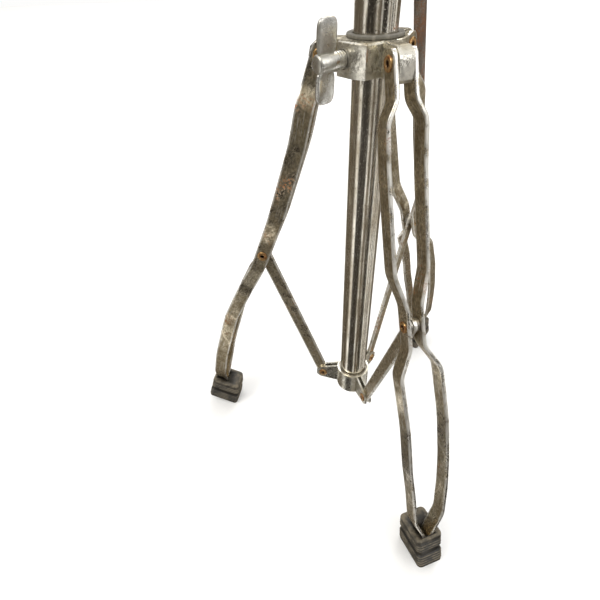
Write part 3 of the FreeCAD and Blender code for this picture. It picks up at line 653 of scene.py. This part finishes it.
for tube_node in ("base_tube", "middle_tube", "top_tube"):
    dressed(tube_node, CHROME_TUBE, 0.0)
dressed("boom_rod", RUST, 0.0)
dressed("lower_collar", COLLAR, 0.3)
dressed("lower_collar_sleeve", HARDWARE, 0.3)
for cast_node in ("hub", "base_clamp", "middle_clamp", "tilter_base", "tilter_head", "cymbal_holder_base",
                  "cymbal_holder_head"):
    dressed(cast_node, CAST, 0.45)
for bush_node in ("hub_bushing", "base_bushing", "middle_bushing"):
    dressed(bush_node, BUSHING, 0.8)
for hard_node in ("hub_washer", "base_washer", "middle_washer", "tilter_washer", "tilter_eye_bolt",
                  "cymbal_holder_washer", "cymbal_post", "cymbal_seat", "cymbal_top_washer", "leg_a_spacers",
                  "leg_b_spacers", "leg_c_spacers"):
    dressed(hard_node, HARDWARE, 0.25)
dressed("cymbal_sleeve", SLEEVE, 0.3)


# ---------------------------------------------------------------- legs

# Along the leg from the hub pivot, and how far a strap's outer face stands from the leg's middle plane.
STRAP_STATIONS = (
    (-7.6, 8.2), (21.0, 8.2), (32.0, 15.0), (134.0, 15.0), (160.0, 7.4), (194.0, 7.4), (214.0, 19.0),
    (305.0, 19.0), (371.0, 15.5), (401.0, 3.5), (424.0, 3.5),
)
# Along the leg, and how far its straps stand outward of the line through its pivots.
STRAP_SWEEP = (
    (-7.6, 0.0), (32.0, 0.0), (60.0, -3.0), (134.0, -3.0), (160.0, -0.8), (194.0, 1.0), (214.0, 6.0),
    (262.0, 13.0), (335.0, 13.0), (371.0, 10.0), (401.0, 6.0), (424.0, 6.0),
)


def make_strap(letter, side_name, side):
    """One of a leg's two bowed straps, holed for the hub and middle rivets."""
    stations = [(u, (v - STRAP_THICKNESS / 2) * side) for u, v in STRAP_STATIONS]
    line = smooth_line(stations, spread=2.6)
    sweep = smooth_line(STRAP_SWEEP, spread=7.0)
    bm = bar(line, STRAP_WIDTH, STRAP_THICKNESS, round_end=False, sweep=sweep, end_round=STRAP_END_ROUND)
    node_name = f"leg_{letter}_strap_{side_name}"
    made = mesh_object(f"strap_{letter}_{side_name}", bm, leg_matrix(letter), STRAP)
    for u in (0.0, LINK / MM):
        across = Matrix.Translation((u * MM, 0, 0)) @ Matrix.Rotation(math.radians(-90), 4, "X")
        cut_away(made, hole(RIVET_HOLE, DRILL_LENGTH), leg_matrix(letter) @ across)
    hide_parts(node_name)
    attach(made, f"leg_{letter}")


def make_brace(letter):
    """A straight flat link with round ends."""
    half = BRACE_WIDTH / 2
    length = LINK / MM
    steps = 60
    line = [(-half + (length + 2 * half) * i / steps, 0.0) for i in range(steps + 1)]
    bm = bar(line, BRACE_WIDTH, BRACE_THICKNESS, round_end=True)
    made = mesh_object(f"brace_bar_{letter}", bm, brace_matrix(letter), STRAP)
    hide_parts(f"brace_{letter}")
    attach(made, f"brace_{letter}")


def rib_inset(depth):
    """How far the foot's side stands in at a depth below its top, and how pale it is painted there: dust on
    the top, a painted highlight on the rib crests.
    """
    if depth < FOOT_CROWN:
        return FOOT_CROWN - math.sqrt(max(0.0, FOOT_CROWN ** 2 - (FOOT_CROWN - depth) ** 2)), 0.75
    if depth < UPPER_RIBS_START:
        return 0.0, 0.5
    if depth < UPPER_RIBS_END:
        wave = 0.5 - 0.5 * math.cos((depth - UPPER_RIBS_START) * 2 * math.pi / RIB_PITCH)
        return UPPER_RIB_DEPTH * wave ** 0.6, 1.0 - wave ** 0.5
    if depth < LOWER_RIBS_START:
        return WAIST_INSET, 0.0
    below = depth - (FOOT_BOTTOM - FOOT_TOP - FOOT_BASE_ROUND)
    rounding = 0.0
    if below > 0:
        rounding = FOOT_BASE_ROUND - math.sqrt(max(0.0, FOOT_BASE_ROUND ** 2 - below ** 2))
    wave = 0.5 + 0.5 * math.cos((depth - LOWER_RIBS_START) * 2 * math.pi / RIB_PITCH)
    rib = LOWER_RIB_DEPTH * wave ** 0.6 * (1.0 if below < 0 else 0.4)
    return rib + rounding, (1.0 - wave ** 0.5) * 0.9


def heel_reach(depth):
    """How far the foot's inner side stands out at a depth: quickly at first, then more slowly."""
    if depth < HEEL_BEND:
        return FOOT_HEEL * min(1.0, depth / HEEL_BEND * 0.5)
    return FOOT_HEEL * (0.5 + 0.5 * (depth - HEEL_BEND) / (FOOT_BOTTOM - FOOT_TOP - HEEL_BEND))


def make_foot(letter):
    """A ribbed rubber block, cut level where it stands, open at the top for the strap ends."""
    bm = bmesh.new()
    crest_layer = bm.verts.layers.float.new("crest")
    length = FOOT_BOTTOM - FOOT_TOP
    levels = 130
    corner = FOOT_CORNER
    rings = []
    for i in range(levels + 1):
        depth = length * i / levels
        inset, crest = rib_inset(depth)
        low = -FOOT_DEPTH / 2 - heel_reach(depth) + inset
        high = FOOT_DEPTH / 2 - inset
        half = FOOT_WIDTH / 2 - inset
        centres = ((half - corner, high - corner, 0), (-half + corner, high - corner, 90),
                   (-half + corner, low + corner, 180), (half - corner, low + corner, 270))
        ring = []
        for centre_v, centre_n, start in centres:
            for k in range(7):
                turn = math.radians(start + 90 * k / 6)
                vertex = bm.verts.new((FOOT_TOP + depth, centre_v + corner * math.cos(turn),
                                       centre_n + corner * math.sin(turn)))
                vertex[crest_layer] = crest
                ring.append(vertex)
        rings.append(ring)
    skin(bm, zip(rings, rings[1:]))
    for cap in (rings[0], rings[-1]):
        bm.faces.new(cap)
    place = leg_matrix(letter)
    inverse = place.inverted()
    floor_point = inverse @ Vector((place.translation.x, place.translation.y, FLOOR))
    floor_normal = inverse.to_3x3() @ UP
    geometry = bm.verts[:] + bm.edges[:] + bm.faces[:]
    cut = bmesh.ops.bisect_plane(bm, geom=geometry, plane_co=floor_point / MM, plane_no=floor_normal,
                                 clear_inner=True)
    rim = [e for e in cut["geom_cut"] if isinstance(e, bmesh.types.BMEdge)]
    bmesh.ops.holes_fill(bm, edges=rim, sides=0)
    made = mesh_object(f"rubber_foot_{letter}", bm, place, RUBBER)
    mouth = bmesh.new()
    bmesh.ops.create_cube(mouth, size=1.0)
    mouth.transform(Matrix.Translation((FOOT_TOP + 3, 0, MOUTH_OUT)) @ Matrix.Diagonal((*MOUTH_SIZE, 1)))
    cut_away(made, mouth, place)
    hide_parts(f"leg_{letter}_foot")
    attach(made, f"leg_{letter}")


# Outline of a cap over a rivet's end: radius, and height above the rivet's grip.
DOME = ((0, 1.5), (1.6, 1.4), (3.2, 1.0), (4.4, 0.45), (4.7, 0.05), (0, 0.05))


def rivet_profile(half_grip):
    """A tubular rivet with both ends rolled over."""
    middle = (RIVET_FLANGE + RIVET_BORE) / 2
    reach = (RIVET_FLANGE - RIVET_BORE) / 2
    upper = []
    for i in range(11):
        turn = math.pi * i / 10
        rise = RIVET_FLANGE_HEIGHT * math.sin(turn) ** 0.8
        upper.append((middle + reach * math.cos(turn), half_grip + rise))
    lower = [(r, -z) for r, z in reversed(upper)]
    return [(RIVET_SHANK, -half_grip), (RIVET_SHANK, half_grip)] + upper + lower


def crest_by_radius(made, axis_points):
    """Marks how far each point stands from a rivet's axis, so that the bore can be painted with shade."""
    layer = made.data.attributes.new("crest", "FLOAT", "POINT")
    for index, vertex in enumerate(made.data.vertices):
        nearest = 1.0
        for origin, axis in axis_points:
            offset = vertex.co - origin
            radial = (offset - axis * offset.dot(axis)).length
            nearest = min(nearest, radial)
        layer.data[index].value = min(1.0, max(0.0, (nearest / MM - RIVET_BORE - BORE_SHADE) / RIM_FADE))


def make_rivets(name, node_name, body, half_grip, joint_names, domed=()):
    """One piece of rivets, one on each joint's axis; a domed one carries caps over its ends."""
    parts = []
    lines = []
    for joint_name in joint_names:
        origin, axis = pivot(joint_name)
        place = along_axis(origin, axis)
        place.translation = place.translation / MM
        parts.append((lathe(rivet_profile(half_grip)), place))
        if joint_name in domed:
            for sign in (-1, 1):
                dome = [(r, (half_grip + z) * sign) for r, z in DOME]
                parts.append((lathe(dome, closed=False), place.copy()))
        lines.append((origin, axis))
    made = mesh_object(name, merged(parts), Matrix.Identity(4), BRASS)
    crest_by_radius(made, lines)
    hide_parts(node_name)
    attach(made, body)


def make_middle_rivet(letter):
    """The rivet through a leg's straps and its brace."""
    place = leg_matrix(letter)
    origin = place @ Vector((LINK, 0, 0))
    axis = pivot(HUB_PIVOTS[letter])[1]
    spot = along_axis(origin, axis)
    spot.translation = spot.translation / MM
    whole = merged([(lathe(rivet_profile(MIDDLE_RIVET_GRIP)), spot)])
    made = mesh_object(f"middle_rivet_{letter}", whole, Matrix.Identity(4), BRASS)
    crest_by_radius(made, [(origin, axis)])
    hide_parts(f"leg_{letter}_middle_rivet")
    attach(made, f"leg_{letter}")


for letter in "abc":
    for side_name, side in (("left", -1), ("right", 1)):
        make_strap(letter, side_name, side)
    make_brace(letter)
    make_foot(letter)
    make_middle_rivet(letter)
make_rivets("collar_rivets", "lower_rivets", "base", COLLAR_RIVET_GRIP, BRACE_PIVOTS.values(),
            domed=("fold",))
make_rivets("hub_leg_rivets", "hub_rivets", "hub", HUB_RIVET_GRIP, HUB_PIVOTS.values())


# ---------------------------------------------------------------- wing bolts, nuts and felts

def wing_bolt_mesh(shank, span=48.0):
    """A cast wing bolt along Z: shank below, grooved boss and two wings above the seat."""
    seat, end, boss = 1.6, 22.6, 5.4
    screw = 3.0
    groove_pitch, groove_depth = 1.9, 0.8
    wing_start = 4.0
    profile = [(0, -shank), (screw - 0.6, -shank), (screw, -shank + 0.6), (screw, seat), (boss - 0.6, seat),
               (boss, seat + 0.5)]
    for groove in range(3):
        foot = seat + 1.4 + groove_pitch * groove
        floor = boss - groove_depth
        profile += [(boss, foot), (floor, foot + 0.3), (floor, foot + 0.7), (boss, foot + 1.0)]
    profile += [(boss, end - 1.4), (boss - 0.5, end - 0.5), (boss - 1.5, end), (0, end)]
    parts = [(lathe(profile, 48, closed=False), Matrix.Identity(4))]
    for side in (-1, 1):
        reach = (span / 2 - wing_start) / 2
        wing = paddle((side * (wing_start + reach), 0, end - 7.6), reach, 1.75, 7.4, squareness=0.5)
        parts.append((wing, Matrix.Identity(4)))
    return parts


def wing_nut_mesh(bore):
    """A wing nut along Z with a flange and two raised ears."""
    profile = [(bore, 0.0), (6.8, 0.0), (7.2, 0.4), (7.2, 1.6), (6.6, 2.2), (5.9, 3.0), (5.4, 10.4),
               (4.6, 12.0), (bore, 12.0)]
    parts = [(lathe(profile, 48), Matrix.Identity(4))]
    for side in (-1, 1):
        ear = paddle((0, 0, 0), 4.8, 1.6, 10.4, squareness=0.62)
        lean = Matrix.Rotation(side * math.radians(42), 4, "Y")
        parts.append((ear, Matrix.Translation((side * 12.6, 0, 11.2)) @ lean))
    return parts


def make_wings(name, node_name, parts):
    """Places a wing bolt or nut so that its wings match the CAD node's longest way across its axis.

    The body has the node's name, and its joint that name with _turn.
    """
    origin, axis = pivot(f"{node_name}_turn")
    node = frame["nodes"][node_name]

    def across(point):
        offset = point - origin
        return offset - axis * offset.dot(axis)

    far = max((v.co for v in node.data.vertices), key=lambda point: across(point).length)
    x_axis = across(far).normalized()
    place = axes_matrix(origin / MM, x_axis, axis.cross(x_axis))
    made = mesh_object(name, merged([(part, place @ own) for part, own in parts]), Matrix.Identity(4), WING)
    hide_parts(node_name)
    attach(made, node_name)


make_wings("hub_wing", "hub_wing_bolt", wing_bolt_mesh(9.6))
make_wings("base_wing", "base_wing_bolt", wing_bolt_mesh(8.0))
make_wings("middle_wing", "middle_wing_bolt", wing_bolt_mesh(8.0))
make_wings("holder_wing", "cymbal_holder_wing_bolt", wing_bolt_mesh(14.0, 34.0))
make_wings("tilter_wing", "tilter_wing_nut", wing_nut_mesh(4.05))
make_wings("cymbal_wing", "cymbal_wing_nut", wing_nut_mesh(3.95))


def make_felt(name, node_name):
    """A pressed felt washer: soft rounded rims, slightly uneven all over."""
    low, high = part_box(node_name)
    centre = (low + high) / 2
    outer = (high.x - low.x) / 2 / MM
    height = (high.z - low.z) / MM
    inner = 5.25
    soft = 2.4
    inner_soft = 1.0
    profile = []
    for centre_r, centre_z, start, end in (
            (outer - soft, height / 2 - soft, 0, 90),
            (inner + inner_soft, height / 2 - inner_soft, 90, 180),
            (inner + inner_soft, -height / 2 + inner_soft, 180, 270),
            (outer - soft, -height / 2 + soft, 270, 360)):
        radius = soft if centre_r > inner + 2 else inner_soft
        steps = 6
        for i in range(steps + 1):
            turn = math.radians(start + (end - start) * i / steps)
            profile.append((centre_r + radius * math.cos(turn), centre_z + radius * math.sin(turn)))
    dense = []
    for (r0, z0), (r1, z1) in zip(profile, profile[1:] + profile[:1]):
        pieces = max(1, int(math.hypot(r1 - r0, z1 - z0) / 1.2))
        dense += [(r0 + (r1 - r0) * k / pieces, z0 + (z1 - z0) * k / pieces) for k in range(pieces)]
    bm = lathe(dense, 120)
    bm.normal_update()
    for vertex in bm.verts:
        if math.hypot(vertex.co.x, vertex.co.y) > inner + 1.5:
            rough = noise.noise(vertex.co * 0.9) + 0.6 * noise.noise(vertex.co * 2.3)
            inward = Vector((vertex.co.x, vertex.co.y, vertex.co.z * 2)).normalized()
            vertex.co -= inward * (0.22 + 0.22 * rough)
    made = mesh_object(name, bm, Matrix.Translation(centre), FELT)
    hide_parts(node_name)
    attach(made, "cymbal_post")


make_felt("felt_lower", "lower_felt")
make_felt("felt_upper", "upper_felt")


# ---------------------------------------------------------------- studio

def plain(name, colour, roughness):
    s = Shader(name)
    return s.finish(Base_Color=colour, Roughness=roughness)


def studio_object(name, bm, material):
    """Turns a bmesh in metres into an object of the studio."""
    data = bpy.data.meshes.new(name)
    bm.to_mesh(data)
    bm.free()
    made = bpy.data.objects.new(name, data)
    bpy.context.scene.collection.objects.link(made)
    data.materials.append(material)
    return made


def make_floor(size):
    bm = bmesh.new()
    bmesh.ops.create_grid(bm, x_segments=1, y_segments=1, size=0.5)
    made = studio_object("floor", bm, plain("floor_paint", (0.90, 0.895, 0.88), 0.75))
    made.matrix_world = Matrix.Translation((0, 0, FLOOR)) @ Matrix.Diagonal((size, size, 1, 1))


make_floor(12)

DARK = plain("dark_card", (0.030, 0.025, 0.020), 0.9)
MIDDLE = plain("brown_card", (0.12, 0.10, 0.075), 0.9)
CARD_REACH = 3.0
CARD_TOP = 2.4
CARD_LIFT = 0.0006
# Azimuth and half angle in degrees, how far out the fan starts, and its tone.
CARDS = ((-197, 42, 0.04, MIDDLE), (-112, 24, 0.04, DARK), (-71, 9, 0.04, MIDDLE), (-43, 14, 0.05, DARK),
         (-16, 4, 0.05, MIDDLE), (-2, 4, 0.05, DARK), (12, 4, 0.05, MIDDLE), (66, 38, 0.05, MIDDLE))


def reflected_card(name, azimuth, half_angle, start, material):
    """A fan on the floor and a wall behind it that only polished metal sees, to give it dark bands."""
    bm = bmesh.new()
    steps = 8
    inner = []
    outer = []
    upper = []
    for i in range(steps + 1):
        turn = math.radians(azimuth - half_angle + 2 * half_angle * i / steps)
        across, along = math.cos(turn), math.sin(turn)
        inner.append(bm.verts.new((start * across, start * along, FLOOR + CARD_LIFT)))
        outer.append(bm.verts.new((CARD_REACH * across, CARD_REACH * along, FLOOR + CARD_LIFT)))
        upper.append(bm.verts.new((CARD_REACH * across, CARD_REACH * along, CARD_TOP)))
    for low, high in ((inner, outer), (outer, upper)):
        for i in range(steps):
            bm.faces.new((low[i], low[i + 1], high[i + 1], high[i]))
    card = studio_object(name, bm, material)
    card.visible_camera = False
    card.visible_diffuse = False
    card.visible_shadow = False


for index, (azimuth, half_angle, start, material) in enumerate(CARDS):
    reflected_card(f"reflected_card_{index}", azimuth, half_angle, start, material)


def soft_light(name, position, target, size, power, tint=(1.0, 1.0, 1.0)):
    """A rectangular area light aimed at a point."""
    data = bpy.data.lights.new(name, "AREA")
    data.shape = "RECTANGLE"
    data.size, data.size_y = size
    data.energy = power
    data.color = tint
    made = bpy.data.objects.new(name, data)
    bpy.context.scene.collection.objects.link(made)
    made.location = position
    made.rotation_mode = "QUATERNION"
    made.rotation_quaternion = (Vector(target) - Vector(position)).to_track_quat("-Z", "Y")


soft_light("key", (-1.3, -1.2, 2.2), (0, 0, 0.2), (1.2, 1.2), 26, (1.0, 0.975, 0.93))
soft_light("fill", (1.6, -0.9, 1.5), (0, 0, 0.2), (0.9, 1.6), 12, (0.98, 0.985, 1.0))
soft_light("back", (0.3, 1.8, 1.9), (0, 0, 0.2), (1.6, 0.8), 16)
soft_light("wash", (0, 3.2, 3.6), (0, 6.5, 0), (9, 4), 120)

world = bpy.data.worlds.new("studio")
world.use_nodes = True
world.node_tree.nodes["Background"].inputs["Color"].default_value = (0.99, 0.985, 0.975, 1)
world.node_tree.nodes["Background"].inputs["Strength"].default_value = 1.0
bpy.context.scene.world = world
bpy.context.scene.view_settings.view_transform = "Standard"


# ---------------------------------------------------------------- camera

# Fitted to the tube, the collars, the rivets and the feet; angles in radians, lens in millimetres.
CAMERA_PLACE = Vector((0.01439, -0.31179, 0.40109))
CAMERA_YAW = -0.2332
CAMERA_PITCH = 0.717
CAMERA_ROLL = -0.056
CAMERA_LENS = 24.25
CAMERA_SENSOR = 36
CAMERA_NEAR = 0.01

ahead = math.cos(CAMERA_PITCH)
forward = Vector((math.sin(CAMERA_YAW) * ahead, math.cos(CAMERA_YAW) * ahead, -math.sin(CAMERA_PITCH)))
level = Vector((math.cos(CAMERA_YAW), -math.sin(CAMERA_YAW), 0))
above = level.cross(forward)
right = level * math.cos(CAMERA_ROLL) + above * math.sin(CAMERA_ROLL)
upward = -level * math.sin(CAMERA_ROLL) + above * math.cos(CAMERA_ROLL)
lens = bpy.data.cameras.new("photo_camera")
lens.lens = CAMERA_LENS
lens.sensor_width = CAMERA_SENSOR
lens.clip_start = CAMERA_NEAR
camera = bpy.data.objects.new("photo_camera", lens)
bpy.context.scene.collection.objects.link(camera)
turned = Matrix((right, upward, -forward)).transposed().to_4x4()
camera.matrix_world = Matrix.Translation(CAMERA_PLACE) @ turned
bpy.context.scene.camera = camera
